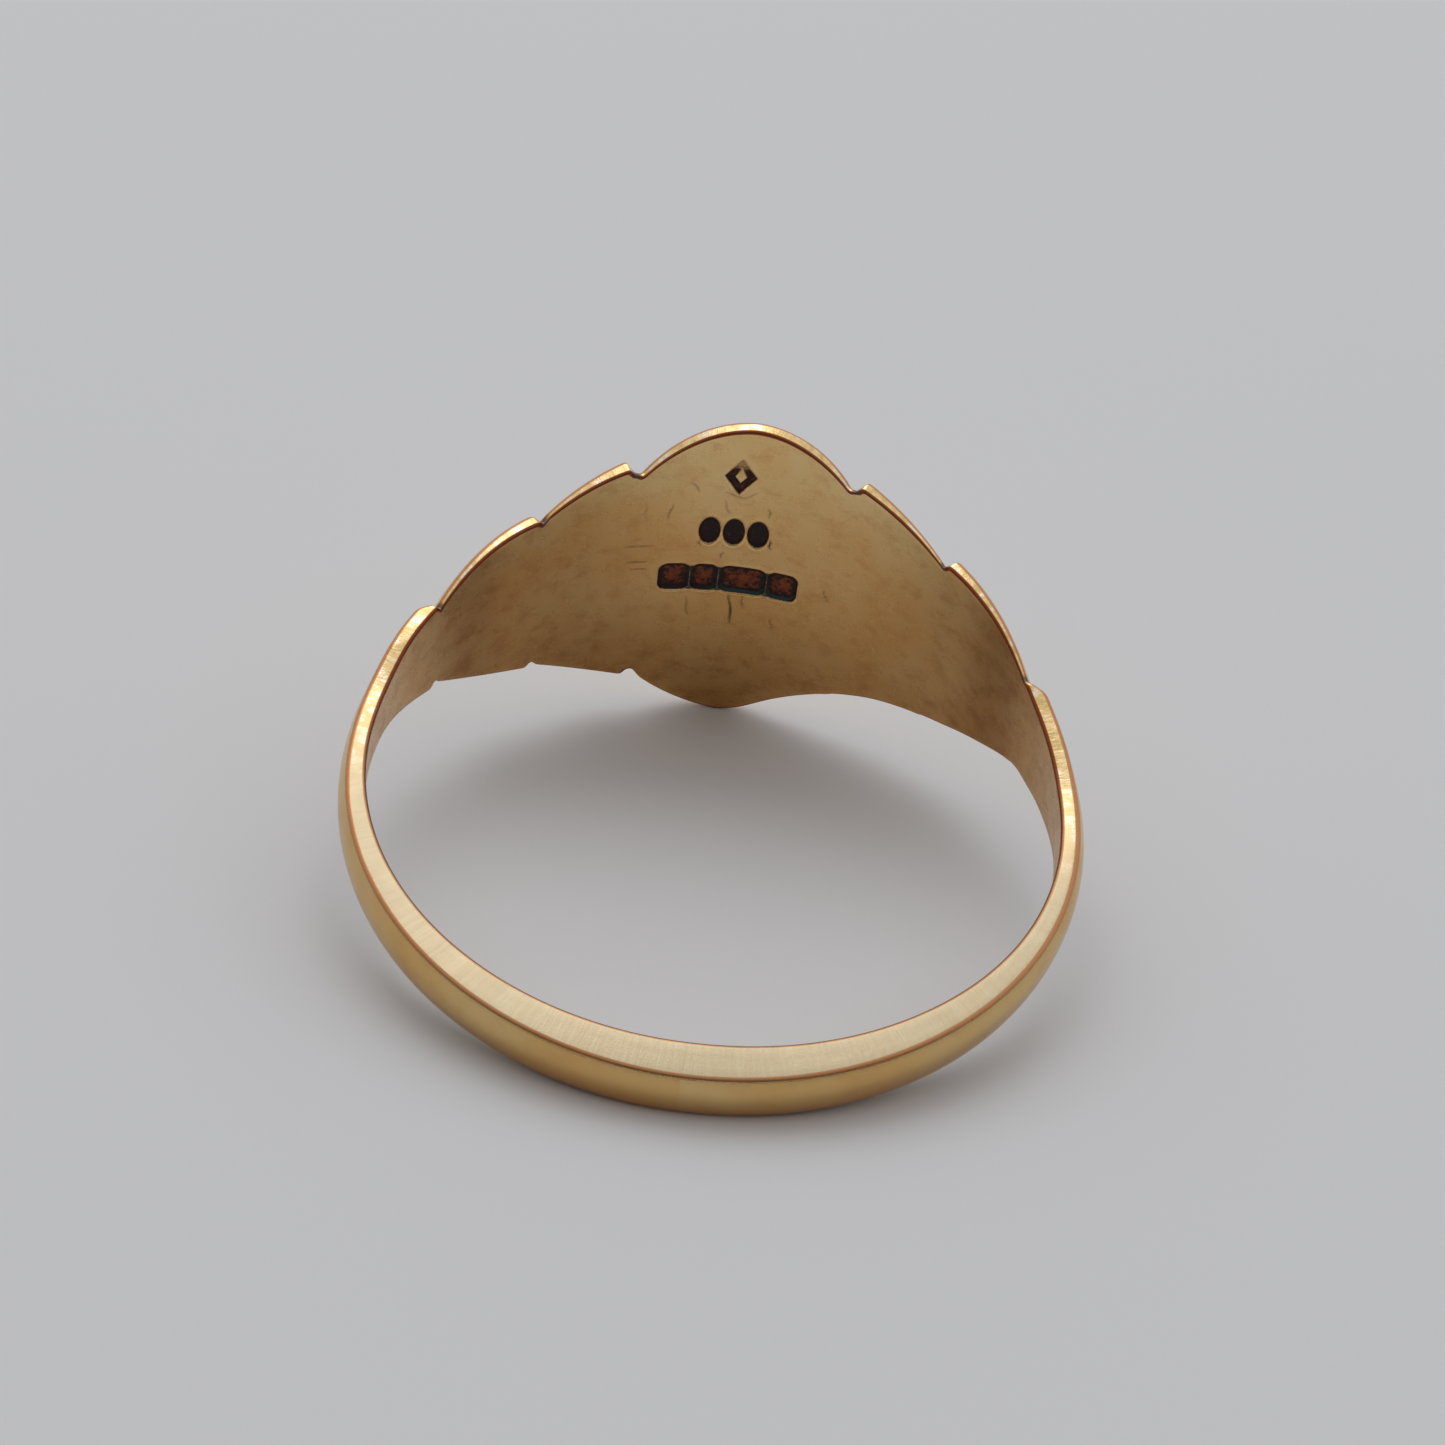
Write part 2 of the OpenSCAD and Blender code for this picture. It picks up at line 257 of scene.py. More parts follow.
def marks(x, z):
    """Depth of the stamped marks in millimetres, then how tarnished each place is, how much of
    that is green and how much is rust-coloured, each from 0 to about 1."""
    dx, dz = x - MARKS_X, z - LOZENGE["z"]
    w, h = LOZENGE["width"] / 2, LOZENGE["height"] / 2
    size = w * h / math.hypot(w, h)
    d = (np.abs(dx) / w + np.abs(dz) / h - 1) * size
    lozenge = np.abs(d + size * 0.28) - size * 0.28
    uneven = lerp(1.0, 0.55, smooth01((dz + 0.1) / 0.5))
    pips = np.full_like(x, 9.0)
    for k in (-1, 0, 1):
        away = np.hypot((dx - k * PIPS["spacing"]) / PIPS["width"], (z - PIPS["z"]) / PIPS["height"])
        pips = np.minimum(pips, (away - 0.5) * PIPS["width"])
    row, bead = np.full_like(x, 9.0), np.zeros_like(x)
    start = -sum(ROW["widths"]) / 2
    for width in ROW["widths"]:
        cx, c = start + width / 2, ROW["corner"]
        qx = np.abs(dx - cx) - (width - ROW["wall"]) / 2 + c
        qz = np.abs(z - ROW["z"]) - ROW["height"] / 2 + c
        box = np.hypot(np.maximum(qx, 0), np.maximum(qz, 0)) + np.minimum(np.maximum(qx, qz), 0) - c
        row = np.minimum(row, box)
        bead = np.maximum(bead, smooth01(1 - np.hypot((dx - cx) / (width * 0.3), (z - ROW["z"]) / 0.27)))
        start += width
    depth = (MARK_DEPTH * 0.75 * uneven * smooth01(0.5 - lozenge / 0.10)
             + MARK_DEPTH * 0.9 * smooth01(0.5 - pips / 0.11)
             + MARK_DEPTH * smooth01(0.5 - row / 0.09) * (1 - 0.35 * bead))
    hull_x = np.abs(dx) - sum(ROW["widths"]) / 2 + ROW["corner"]
    hull_z = np.abs(z - ROW["z"]) - ROW["height"] / 2 + ROW["corner"] + 0.03
    hull = np.hypot(np.maximum(hull_x, 0), np.maximum(hull_z, 0)) \
        + np.minimum(np.maximum(hull_x, hull_z), 0) - ROW["corner"]
    wall = smooth01(0.5 - hull / 0.06) * smooth01(0.5 + row / 0.05)
    stain = np.maximum.reduce([
        uneven ** 1.3 * smooth01(0.62 - lozenge / 0.12),
        smooth01(0.62 - pips / 0.10), smooth01(0.62 - row / 0.09), wall * 0.62])
    green = smooth01(0.9 - np.abs(row + 0.03) / 0.07) * smooth01((ROW["z"] - 0.12 - z) / 0.25) \
        * smooth01((dx + 1.3) / 1.6)
    green = np.maximum(green, wall * 0.7)
    rusty = np.maximum(0.55 * smooth01(0.5 - (row + 0.13) / 0.14) + 0.25 * bead,
                       0.3 * smooth01(0.5 - lozenge / 0.1))
    # the metal pushed up round each mark
    lip = 0.008 * np.exp(-((np.minimum(np.minimum(lozenge, pips), row) - 0.05) / 0.05) ** 2)
    return depth - lip, stain, green, rusty


# ---------------------------------------------------------------- one strip of the ring
def profile(name, u):
    """A profile at signed nominal angles u, given by its name or as values over GRID."""
    return np.interp(np.abs(u), GRID, PROFILES[name] if isinstance(name, str) else name)


def sided(edge, what, u):
    """An edge's profile at signed nominal angles u, the left one easing into the right one."""
    right = np.interp(np.abs(u), GRID, PROFILES[("right", edge, what)])
    left = np.interp(np.abs(u), GRID, PROFILES[("left", edge, what)])
    w = smooth01(u / 3.0 + 0.5) if what == "half" else smooth01(u / 6.0 + 0.5)
    if what != "shift":
        w = lerp(w, 0.5, smooth01((np.abs(u) - 165) / 15))
    return lerp(left, right, w)


def bezier(p0, p1, p2, count):
    """Points of a rounded corner, without its two ends."""
    s = np.linspace(0, 1, count + 2)[1:-1]
    return [(p0[0] * (1 - k) ** 2 + 2 * p1[0] * k * (1 - k) + p2[0] * k ** 2,
             p0[1] * (1 - k) ** 2 + 2 * p1[1] * k * (1 - k) + p2[1] * k ** 2) for k in s]


def section(u, inner_t, outer_t, stamped):
    """Every point of the cross-sections at nominal angles u: arrays of angle, r, z and zone, and
    the masks. Zone is 0 on the inner face, 1 on a side face and 2 on the outer face."""
    top, bottom = sided("top", "half", u), sided("bottom", "half", u)
    rim_top, rim_bottom = sided("top", "rim", u), sided("bottom", "rim", u)
    crown, slope = profile("crown", u), profile(SLOPE, u)
    d_in = np.minimum(profile(INNER_ROUND, u), 0.4 * rim_top)
    d_out = np.minimum(profile(OUTER_ROUND, u), 0.4 * rim_top)
    bulge = crown - (rim_top + rim_bottom) / 2
    r0 = np.full_like(u, BORE_R)

    def outer(t):
        z = np.where(t >= 0, t * (top - slope), t * (bottom - slope))
        return r0 + lerp(rim_bottom, rim_top, (t + 1) / 2) + bulge * (1 - t * t), z

    def side(half, rim, sign, flip):
        """One side face with its two rounded corners, from the bore outwards."""
        def on(r):
            return r0 + r, sign * (half - slope * r / rim)
        t_out = sign * (1 - d_out / (half - slope))
        start = (r0, sign * (half - d_in))
        pts = [(start, 0.0)]
        pts += [(p, 0.5) for p in bezier(start, (r0, sign * half), on(d_in), 4)]
        pts += [(on(lerp(d_in, rim - d_out, s)), 1.0) for s in (0, 0.33, 0.67, 1)]
        pts += [(p, 1.5) for p in bezier(on(rim - d_out), on(rim), outer(t_out), 4)]
        pts += [(outer(t_out), 2.0)]
        return pts[::-1] if flip else pts

    inner = []
    for t in inner_t:
        z = np.where(t >= 0, t * (top - d_in), t * (bottom - d_in))
        inner.append(((r0, z), 0.0))
    outside = []
    for t in outer_t:
        k = np.where(t >= 0, 1 - d_out / (top - slope), 1 - d_out / (bottom - slope))
        outside.append((outer(t * k), 2.0))
    loop = (inner[1:-1] + side(top, rim_top, 1, False)
            + outside[1:-1][::-1] + side(bottom, rim_bottom, -1, True))
    r = np.stack([p[0] for p, _ in loop], 1)
    z = np.stack([p[1] for p, _ in loop], 1)
    zone = np.array([q for _, q in loop])
    half = np.where(z >= 0, top[:, None], bottom[:, None])
    t = np.clip(z / half, -1, 1)
    shift = np.where(t >= 0, sided("top", "shift", u)[:, None], sided("bottom", "shift", u)[:, None])
    sign = np.sign(u)[:, None]
    angle = u[:, None] + sign * (profile("bow", u)[:, None] * bow_shape(t) + shift * t * t)
    stain, green, scratch = np.zeros_like(z), np.zeros_like(z), np.zeros_like(z)
    near_groove, rusty = np.zeros_like(z), np.zeros_like(z)
    # darker near the grooves on the side and outer faces
    for g, strength in ((GROOVES[0], 1.0), (GROOVES[1], 0.85), (GROOVES[2], 0.8)):
        near = np.exp(-((np.abs(u) - g) / 1.0) ** 2) * strength
        near_groove = np.maximum(near_groove, near[:, None] * (zone > 0.2)[None, :])
    if stamped:
        depth, stain, green, rusty = marks(np.radians(angle) * BORE_R, z)
        inside = (zone < 0.25)[None, :]
        r = r + np.where(inside, depth, 0)
        stain, green = stain * inside, green * inside
        scratch = scratched(np.radians(angle) * BORE_R, z) * inside
    return angle, r, z, zone, (stain, green, scratch, near_groove, rusty)


def zipper(a, b, za, zb):
    """Triangles between two rows of points that run side by side, in step by their heights."""
    faces, i, j = [], 0, 0
    while i < len(a) - 1 or j < len(b) - 1:
        if j == len(b) - 1 or (i < len(a) - 1 and za[i + 1] <= zb[j + 1]):
            faces.append((a[i], a[i + 1], b[j]))
            i += 1
        else:
            faces.append((a[i], b[j + 1], b[j]))
            j += 1
    return faces


SIDE_MIDDLE = 6        # which point of a side face lies near its middle


def strip(name, stations, inner_t, outer_t, stamped=False):
    """One piece of the ring, a closed mesh over the nominal angles in stations."""
    u = np.asarray(stations, float)
    angle, r, z, zone, masks = section(u, np.asarray(inner_t), np.asarray(outer_t), stamped)
    rows, loop = angle.shape
    points = to_world(angle, r, z).reshape(-1, 3)
    i, k = np.meshgrid(np.arange(rows - 1), np.arange(loop), indexing="ij")
    a, b = i * loop + k, i * loop + (k + 1) % loop
    quads = np.stack([a, b, b + loop, a + loop], -1).reshape(-1, 4)
    # the caps are cut from the middle of one side face to the middle of the other
    mid_top = len(inner_t) - 2 + SIDE_MIDDLE
    mid_bottom = loop - 1 - SIDE_MIDDLE
    inner_row = list(range(mid_bottom, loop)) + list(range(0, mid_top + 1))
    outer_row = list(range(mid_bottom, mid_top - 1, -1))
    caps = []
    for row, flip in ((0, True), (rows - 1, False)):
        base = row * loop
        tris = zipper([base + q for q in inner_row], [base + q for q in outer_row],
                      z[row, inner_row], z[row, outer_row])
        tris = [t for t in tris if len(set(t)) == 3]
        caps += [t[::-1] if flip else t for t in tris]
    mesh = bpy.data.meshes.new(name)
    mesh.from_pydata(points.tolist(), [], quads.tolist() + caps)
    mesh.update()
    # signed volume: turn the faces round if they look inwards
    tri = points[np.concatenate([quads[:, :3], quads[:, [0, 2, 3]], np.array(caps)])] - points.mean(0)
    if np.einsum("ij,ij->i", tri[:, 0], np.cross(tri[:, 1], tri[:, 2])).sum() < 0:
        mesh.flip_normals()
    smooth = np.ones(len(mesh.polygons), bool)
    smooth[len(quads):] = False
    mesh.polygons.foreach_set("use_smooth", smooth)
    edge_v = np.zeros(len(mesh.edges) * 2, np.int64)
    mesh.edges.foreach_get("vertices", edge_v)
    edge_v = edge_v.reshape(-1, 2)
    ring_of = edge_v // loop
    sharp = ((ring_of == 0).all(1) | (ring_of == rows - 1).all(1))
    mesh.attributes.new("sharp_edge", "BOOLEAN", "EDGE").data.foreach_set("value", sharp)
    if name.startswith("solder_back"):
        angle = angle % 360     # this piece crosses the back, where the angle turns over
    coords = np.stack([np.radians(angle) * BORE_R, z, r - BORE_R], -1).reshape(-1, 3)
    ring_mm = mesh.attributes.new("ring_mm", "FLOAT_VECTOR", "POINT")
    ring_mm.data.foreach_set("vector", coords.astype(np.float32).ravel())
    labels = ("zone", "stain", "green", "scratch", "near_groove", "rusty")
    for label, values in zip(labels, (np.broadcast_to(zone, z.shape),) + masks):
        layer = mesh.attributes.new(label, "FLOAT", "POINT")
        layer.data.foreach_set("value", np.ascontiguousarray(values, np.float32).ravel())
    obj = bpy.data.objects.new(name, mesh)
    bpy.context.scene.collection.objects.link(obj)
    return obj


# ---------------------------------------------------------------- material
def node(tree, kind, inputs=None, **settings):
    n = tree.nodes.new(kind)
    for key, value in settings.items():
        setattr(n, key, value)
    for key, value in (inputs or {}).items():
        if isinstance(value, bpy.types.NodeSocket):
            tree.links.new(value, n.inputs[key])
        else:
            n.inputs[key].default_value = value
    return n


def maths(tree, operation, a, b=0.0, clamp=False):
    return node(tree, "ShaderNodeMath", {0: a, 1: b}, operation=operation, use_clamp=clamp).outputs[0]


def times(tree, a, b):
    return maths(tree, "MULTIPLY", a, b)


def one_minus(tree, a, clamp=False):
    return maths(tree, "SUBTRACT", 1.0, a, clamp=clamp)


def ramp(tree, value, low, high):
    """0 below low, 1 above high, smooth in between."""
    return node(tree, "ShaderNodeMapRange", {"Value": value, "From Min": low, "From Max": high},
                interpolation_type="SMOOTHSTEP").outputs["Result"]


def blend_colour(tree, amount, a, b, how="MIX"):
    """Colour a, turned into b by that amount."""
    n = node(tree, "ShaderNodeMix", data_type="RGBA", blend_type=how)
    for socket, value in ((n.inputs[0], amount), (n.inputs[6], a), (n.inputs[7], b)):
        if isinstance(value, bpy.types.NodeSocket):
            tree.links.new(value, socket)
        else:
            socket.default_value = value
    return n.outputs[2]


def tinted(tree, colour, tint):
    return blend_colour(tree, 1.0, colour, tint, "MULTIPLY")


def attribute(tree, name, output="Fac"):
    return node(tree, "ShaderNodeAttribute", attribute_name=name).outputs[output]


def stretched(tree, coords, scale, detail=3.0, roughness=0.55, turn=0.0, scaled=8.0):
    """Noise in the ring's own coordinates, stretched by scale."""
    m = node(tree, "ShaderNodeMapping", {"Vector": coords, "Scale": scale, "Rotation": (0, 0, turn)})
    return node(tree, "ShaderNodeTexNoise", {"Vector": m.outputs[0], "Scale": scaled, "Detail": detail,
                                             "Roughness": roughness}).outputs[0]


# Colours of the gold's details
# a darker brown tint for the inside: painted shade, and a brown band by the shank joint
SHADE_AND_BROWN_TINT = (0.52, 0.43, 0.35, 1)
WARMER = (1.0, 0.89, 0.80, 1)
# pale creams: a painted sheen for the side faces at the back of the shank
PALE_SHEEN_CREAMS = ((0.53, 0.445, 0.30, 1), (0.505, 0.412, 0.27, 1))
# the whitish second colour here is a painted highlight for the side faces
YELLOW_RIM, PAINTED_GLINT = (0.62, 0.46, 0.19, 1), (0.99, 0.92, 0.80, 1)
# the second colour paints shade on the lower half of the shank's outside
DULL, DULL_SHADED_BELOW = (0.72, 0.67, 0.60, 1), (0.80, 0.56, 0.42, 1)
# dark colours painted along the side faces' edges, as painted dark reflections
INNER_EDGE_SHADE, OUTER_EDGE_SHADE = (0.25, 0.048, 0.014, 1), (0.58, 0.20, 0.07, 1)
TARNISH, RUST, VERDIGRIS = (0.022, 0.008, 0.009, 1), (0.27, 0.060, 0.010, 1), (0.018, 0.070, 0.068, 1)
# the first colour darkens the faces near the grooves
GROOVE_DARK, SCRATCH = (0.10, 0.060, 0.045, 1), (0.05, 0.018, 0.012, 1)
BUMP_HEIGHT = 0.00002


def gold_material(name, base, pale, deep):
    """Worn gold: mottled, browner inside with painted shade, scratched, with dark marks, darker near the
    grooves, and with painted highlights, sheen and dark edge reflections.
    """
    mat = bpy.data.materials.new(name)
    mat.use_nodes = True
    tree = mat.node_tree
    tree.nodes.clear()
    ring = attribute(tree, "ring_mm", "Vector")
    zone = attribute(tree, "zone")
    stain = attribute(tree, "stain")
    green = attribute(tree, "green")
    from_side = maths(tree, "ABSOLUTE", maths(tree, "SUBTRACT", zone, 1.0))
    on_side = one_minus(tree, from_side, clamp=True)
    inside = one_minus(tree, zone, clamp=True)

    place = node(tree, "ShaderNodeSeparateXYZ", {0: ring})
    arc, along_axis = place.outputs[0], place.outputs[1]
    downwards = times(tree, along_axis, -1.0)
    back = ramp(tree, maths(tree, "ABSOLUTE", arc), 11.0, 17.0)

    # colour: large soft mottling, finer brown clouding and specks
    broad = stretched(tree, ring, (0.35, 0.35, 0.35), detail=2.0, scaled=1.0)
    cloud = stretched(tree, ring, (1.0, 1.3, 1.0), detail=5.0, roughness=0.65, scaled=1.4)
    speck = stretched(tree, ring, (1.0, 1.0, 1.0), detail=3.0, roughness=0.7, scaled=17.0)
    colour = blend_colour(tree, ramp(tree, broad, 0.35, 0.68), pale, base)
    clouding = maths(tree, "ADD", 0.15, times(tree, inside, 0.20))
    colour = blend_colour(tree, times(tree, ramp(tree, cloud, 0.46, 0.72), clouding), colour, deep)
    colour = blend_colour(tree, times(tree, ramp(tree, speck, 0.60, 0.80), 0.20), colour, deep)

    # the inside is darker and browner low down and towards the shoulders: painted shade, for the floor's
    # shadow and the ring's own walls that the inner face reflects; it is also browner in a band by the
    # shank
    # painted shade low down on the inside and towards each shoulder
    low = times(tree, ramp(tree, downwards, 0.4, 5.0), 0.85)
    left = times(tree, ramp(tree, times(tree, arc, -1.0), 1.2, 5.0), 0.42)
    right = times(tree, ramp(tree, arc, 2.8, 8.5), 0.55)
    painted_shade_and_brown = maths(tree, "ADD", maths(tree, "ADD", low, left), right)
    # a brown band by the shank joint, added to the same tint
    by_joint = maths(tree, "ABSOLUTE", maths(tree, "SUBTRACT", maths(tree, "ABSOLUTE", arc), 8.3))
    by_joint = one_minus(tree, ramp(tree, by_joint, 0.1, 1.9))
    painted_shade_and_brown = maths(tree, "ADD", painted_shade_and_brown, times(tree, by_joint, 0.4))
    uneven = maths(tree, "ADD", 0.55, times(tree, cloud, 0.9))
    painted_shade_and_brown = maths(tree, "MULTIPLY", painted_shade_and_brown, uneven, clamp=True)
    painted_shade_and_brown = times(tree, painted_shade_and_brown, inside)
    warm = times(tree, ramp(tree, downwards, -3.8, -0.8), inside)
    colour = blend_colour(tree, warm, colour, tinted(tree, colour, WARMER))
    colour = blend_colour(tree, painted_shade_and_brown, colour, tinted(tree, colour, SHADE_AND_BROWN_TINT))

    # scratches along and round the finger, and radial file marks on the side faces
    along = stretched(tree, ring, (2.2, 0.07, 0.3), detail=4.0, roughness=0.65, turn=0.03)
    round_it = stretched(tree, ring, (0.10, 3.2, 0.3), detail=4.0, roughness=0.65, turn=-0.05)
    slanted = stretched(tree, ring, (2.0, 0.10, 0.3), detail=3.0, roughness=0.6, turn=0.6)
    filed = stretched(tree, ring, (1.3, 0.10, 0.05), detail=4.0, roughness=0.7)
    patches = ramp(tree, broad, 0.40, 0.60)
    lines = times(tree, ramp(tree, along, 0.58, 0.72), times(tree, patches, 0.30))
    lines = maths(tree, "ADD", lines, times(tree, ramp(tree, slanted, 0.62, 0.74), 0.16))
    lines = maths(tree, "ADD", lines, times(tree, ramp(tree, round_it, 0.60, 0.74), 0.16))
    colour = blend_colour(tree, times(tree, lines, inside), colour, deep)
    back_side = times(tree, back, on_side)
    # painted sheen: the side faces at the back turn pale cream, streaked by the real file marks
    filed_sheen = blend_colour(tree, ramp(tree, filed, 0.36, 0.62), *PALE_SHEEN_CREAMS)
    colour = blend_colour(tree, times(tree, back_side, 0.92), colour, filed_sheen)

    # painted highlights: whitish glints in patches on the side faces of the signet and shoulders, yellow
    # between
    glint_patches = stretched(tree, ring, (1.5, 0.8, 0.8), detail=4.0, roughness=0.7, scaled=2.4)
    rim = times(tree, on_side, one_minus(tree, back))
    glint = times(tree, rim, ramp(tree, glint_patches, 0.51, 0.62))
    yellow = times(tree, rim, one_minus(tree, ramp(tree, glint_patches, 0.38, 0.50)))
    colour = blend_colour(tree, times(tree, yellow, 0.7), colour, YELLOW_RIM)
    colour = blend_colour(tree, times(tree, glint, 0.75), colour, PAINTED_GLINT)

    # the outside of the shank is duller, and browner and a little darker towards the lower edge: painted
    # shade there
    outside = maths(tree, "SUBTRACT", zone, 1.0, clamp=True)
    dull = times(tree, times(tree, back, outside), 0.9)
    dull_and_shaded = blend_colour(tree, ramp(tree, downwards, -0.1, 0.8), DULL, DULL_SHADED_BELOW)
    colour = blend_colour(tree, dull, colour, tinted(tree, colour, dull_and_shaded))

    # painted dark reflections: a thin dark red-brown line where a side face meets the inner face, and an
    # orange one along the outer edge
    for middle, strength, fading, edge_colour in ((0.5, 0.95, 0.40, INNER_EDGE_SHADE), (1.5, 0.80, 0.12, OUTER_EDGE_SHADE)):
        away = maths(tree, "ABSOLUTE", maths(tree, "SUBTRACT", zone, middle))
        edge_shade = ramp(tree, maths(tree, "SUBTRACT", 0.5, away), 0.05, 0.4)
        faded = maths(tree, "SUBTRACT", strength, times(tree, back, fading))
        colour = blend_colour(tree, times(tree, edge_shade, faded), colour, edge_colour)

    # tarnish: dark in the marks, with rust-coloured and green places; darker near the grooves on the
    # side and outer faces
    tint = stretched(tree, ring, (1.0, 1.0, 1.0), detail=4.0, roughness=0.65, scaled=2.9)
    grains = stretched(tree, ring, (1.0, 1.0, 1.0), detail=4.0, roughness=0.7, scaled=7.0)
    rusty = times(tree, maths(tree, "SUBTRACT", attribute(tree, "rusty"), 0.35), 0.34)
    rusting = ramp(tree, maths(tree, "ADD", grains, rusty), 0.45, 0.70)
    rust = blend_colour(tree, rusting, TARNISH, RUST)
    rust = blend_colour(tree, ramp(tree, green, 0.1, 0.9), rust, VERDIGRIS)
    ragged = maths(tree, "ADD", stain, times(tree, maths(tree, "SUBTRACT", speck, 0.5), 0.5))
    dark = ramp(tree, ragged, 0.28, 0.66)
    groove_darkness = times(tree, ramp(tree, attribute(tree, "near_groove"), 0.25, 0.9), 0.85)
    colour = blend_colour(tree, groove_darkness, colour, GROOVE_DARK)
    colour = blend_colour(tree, times(tree, attribute(tree, "scratch"), 0.95), colour, SCRATCH)
    colour = blend_colour(tree, dark, colour, rust)

    height = maths(tree, "ADD", times(tree, along, 0.45), times(tree, round_it, 0.35))
    height = maths(tree, "ADD", height, times(tree, slanted, 0.25))
    height = maths(tree, "ADD", height, times(tree, filed, times(tree, on_side, 0.6)))
    height = maths(tree, "ADD", height, times(tree, speck, 0.35))
    height = maths(tree, "SUBTRACT", height, times(tree, dark, times(tree, tint, 1.5)))
    bump = node(tree, "ShaderNodeBump", {"Strength": 0.5, "Distance": BUMP_HEIGHT, "Height": height})

    rough = maths(tree, "ADD", 0.14, times(tree, cloud, 0.16))
    rough = maths(tree, "ADD", rough, times(tree, inside, 0.05))
    rough = maths(tree, "ADD", rough, times(tree, back_side, 0.12))
    rough = maths(tree, "ADD", rough, times(tree, dark, 0.15))
    metal = one_minus(tree, times(tree, maths(tree, "MAXIMUM", dark, groove_darkness), 0.55))
    shader = node(tree, "ShaderNodeBsdfPrincipled", {
        "Base Color": colour, "Roughness": rough, "Normal": bump.outputs[0], "Metallic": metal})
    out = node(tree, "ShaderNodeOutputMaterial")
    tree.links.new(shader.outputs[0], out.inputs[0])
    return mat


GOLD = gold_material(
    "gold_worn", (0.93, 0.615, 0.255, 1), (0.96, 0.70, 0.335, 1), (0.63, 0.295, 0.10, 1))
SOLDER = gold_material(
    "gold_solder", (0.93, 0.625, 0.265, 1), (0.96, 0.705, 0.345, 1), (0.65, 0.31, 0.11, 1))


# ---------------------------------------------------------------- pieces
def spread(*runs):
    """Numbers in runs of (from, to, spacing), each value once."""
    out = []
    for lo, hi, gap in runs:
        count = max(1, int(round((hi - lo) / gap)))
        out += list(np.linspace(lo, hi, count, endpoint=False))
    return np.array(out + [runs[-1][1]])


end_1, end_2 = GROOVES[0] - JOINT, GROOVES[0] + JOINT
last_1, last_2 = GROOVES[2] - JOINT, GROOVES[2] + JOINT
back_1 = 180 - JOINT
DENSE = 0.19           # degrees between sections where the marks are, 0.03 mm
head_u = spread((-end_1, -16.0, 0.18), (-16.0, -12.0, 0.3), (-12.0, 10.4, DENSE),
                (10.4, 16.0, 0.3), (16.0, end_1, 0.18))
head_t = spread((-1, -0.38, 0.03), (-0.38, 0.97, 0.0062), (0.97, 1, 0.01))
shoulder_u = spread((end_2, end_2 + 3, 0.12), (end_2 + 3, 34.4, 0.45), (34.4, 39.4, 0.12),
                    (39.4, 56.6, 0.45), (56.6, last_1, 0.12))
shank_u = spread((last_2, last_2 + 4, 0.14), (last_2 + 4, 90, 0.6), (90, back_1, 0.8))
head_joint, shank_joint = np.linspace(end_1, end_2, 4), np.linspace(last_1, last_2, 4)
back_joint = np.array([back_1, 180 - JOINT / 3, JOINT / 3 - 180, -back_1])
coarse_in, coarse_out = np.linspace(-1, 1, 33), np.linspace(-1, 1, 41)

# For each CAD node: the sections' angles, then the points across the inner face
PIECES = {
    "signet_head": (head_u, head_t),
    "shoulder_right": (shoulder_u, coarse_in),
    "shoulder_left": (-shoulder_u[::-1], coarse_in),
    "shank_right": (shank_u, coarse_in),
    "shank_left": (-shank_u[::-1], coarse_in),
    "solder_head_right": (head_joint, coarse_in),
    "solder_head_left": (-head_joint[::-1], coarse_in),
    "solder_shank_right": (shank_joint, coarse_in),
    "solder_shank_left": (-shank_joint[::-1], coarse_in),
    "solder_back": (back_joint, coarse_in),
}
for cad_node, (stations, inner_t) in PIECES.items():
    is_solder = cad_node.startswith("solder")
    piece = strip(cad_node + "_worn", stations, inner_t, coarse_out, stamped=cad_node == "signet_head")
    piece.data.materials.append(SOLDER if is_solder else GOLD)
    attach(piece, "root")
    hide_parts(cad_node)


# ---------------------------------------------------------------- stage, light, camera
FLOOR_REACH = 1.5
FLOOR_COLOUR = (0.755, 0.75, 0.755, 1)
WINDOW_COLOUR = (0.97, 0.98, 1.0)
SKY_TOWARDS = (0.0, 0.62, 0.785)       # where the room is brightest
SKY_DARK, SKY_BRIGHT = 0.095, 0.72

floor_mesh = bpy.data.meshes.new("floor")
corners = [(x * FLOOR_REACH, y * FLOOR_REACH, 0) for x, y in ((-1, -1), (1, -1), (1, 1), (-1, 1))]
floor_mesh.from_pydata(corners, [], [(0, 1, 2, 3)])
floor = bpy.data.objects.new("floor", floor_mesh)
bpy.context.scene.collection.objects.link(floor)
floor_mat = bpy.data.materials.new("pale_floor")
floor_mat.use_nodes = True
floor_shader = floor_mat.node_tree.nodes["Principled BSDF"]
floor_shader.inputs["Base Color"].default_value = FLOOR_COLOUR
floor_shader.inputs["Roughness"].default_value = 0.75
floor_mesh.materials.append(floor_mat)

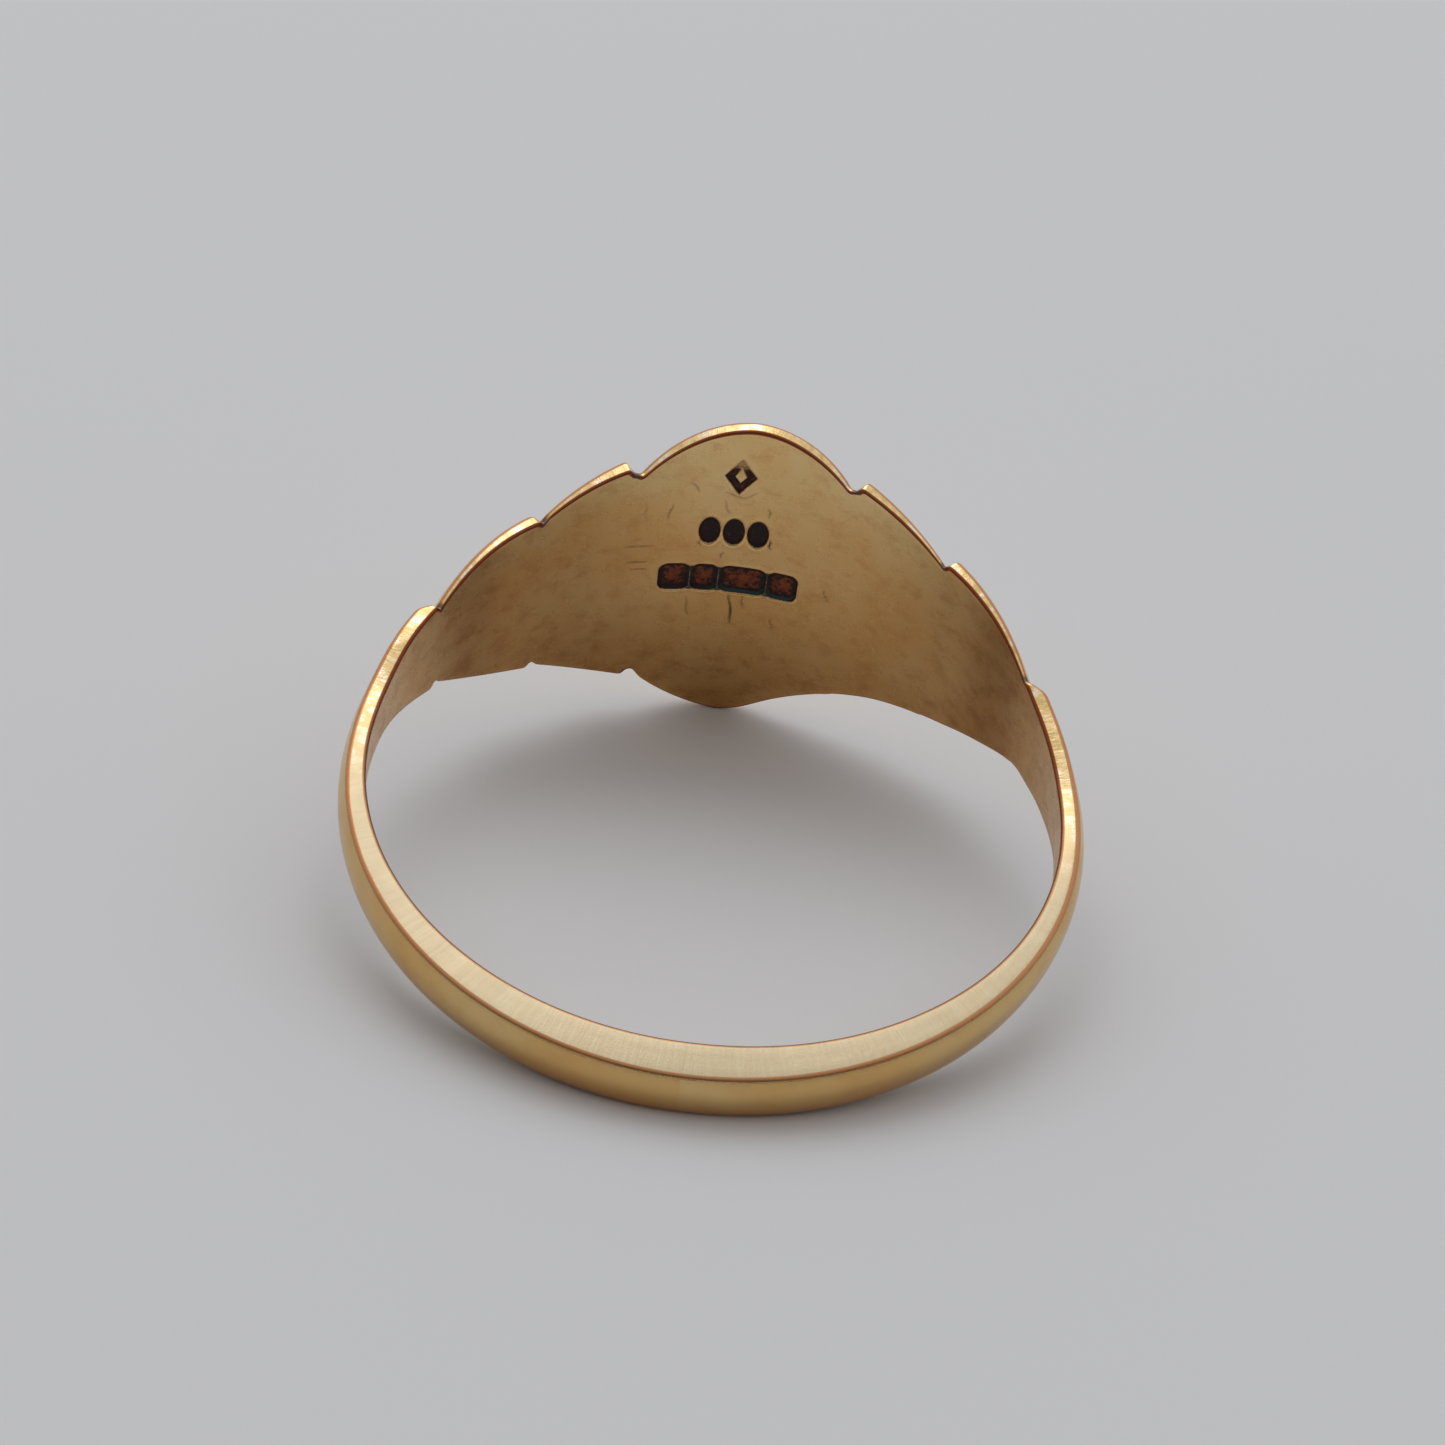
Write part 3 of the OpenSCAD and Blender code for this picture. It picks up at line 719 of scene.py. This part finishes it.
world = bpy.data.worlds.new("studio")
bpy.context.scene.world = world
world.use_nodes = True
sky = world.node_tree
sky.nodes.clear()
direction = node(sky, "ShaderNodeTexCoord").outputs["Generated"]
towards = node(sky, "ShaderNodeVectorMath", {0: direction, 1: SKY_TOWARDS},
               operation="DOT_PRODUCT").outputs["Value"]
level = node(sky, "ShaderNodeMapRange", {
    "Value": towards, "From Min": -0.55, "From Max": 0.95, "To Min": SKY_DARK, "To Max": SKY_BRIGHT},
    interpolation_type="SMOOTHSTEP").outputs["Result"]
background = node(sky, "ShaderNodeBackground", {"Color": WINDOW_COLOUR + (1,), "Strength": level})
sky_out = node(sky, "ShaderNodeOutputWorld")
sky.links.new(background.outputs[0], sky_out.inputs[0])

# Where the light and the camera point, and how far off the camera is
AIM = CENTRE + Vector((-0.03, 1.095, 1.861)) * MM
CAMERA_DISTANCE = 0.1174
CAMERA_ANGLES = (0.805, 30.455, -7.558)     # azimuth, elevation and roll, degrees


def softbox(name, azimuth, elevation, distance, size, power, colour):
    """A soft rectangular light, aimed at AIM from that azimuth and elevation."""
    light = bpy.data.lights.new(name, "AREA")
    light.shape = "RECTANGLE"
    light.size, light.size_y = size
    light.energy = power
    light.color = colour
    obj = bpy.data.objects.new(name, light)
    bpy.context.scene.collection.objects.link(obj)
    a, e = math.radians(azimuth), math.radians(elevation)
    away = Vector((math.sin(a) * math.cos(e), math.cos(a) * math.cos(e), math.sin(e)))
    obj.location = AIM + away * distance
    obj.rotation_mode = "QUATERNION"
    obj.rotation_quaternion = away.to_track_quat("Z", "Y")
    return obj


softbox("window", -14, 60, 0.45, (0.36, 0.30), 0.34, WINDOW_COLOUR)

camera = bpy.data.objects.new("camera", bpy.data.cameras.new("camera"))
bpy.context.scene.collection.objects.link(camera)
camera.data.sensor_width = 36
camera.data.lens = 112.335
camera.data.clip_start = 0.005
camera.data.clip_end = 10
azimuth, elevation, roll = (math.radians(v) for v in CAMERA_ANGLES)
look = Vector((math.sin(azimuth) * math.cos(elevation), math.cos(azimuth) * math.cos(elevation),
               -math.sin(elevation)))
level_right = look.cross(Vector((0, 0, 1))).normalized()
up = level_right.cross(look) * math.cos(roll) + level_right * math.sin(roll)
right = look.cross(up)
camera.rotation_mode = "QUATERNION"
camera.rotation_quaternion = Matrix((right, up, -look)).transposed().to_quaternion()
camera.location = AIM - look * CAMERA_DISTANCE
bpy.context.scene.camera = camera
bpy.context.scene.view_settings.view_transform = "Standard"
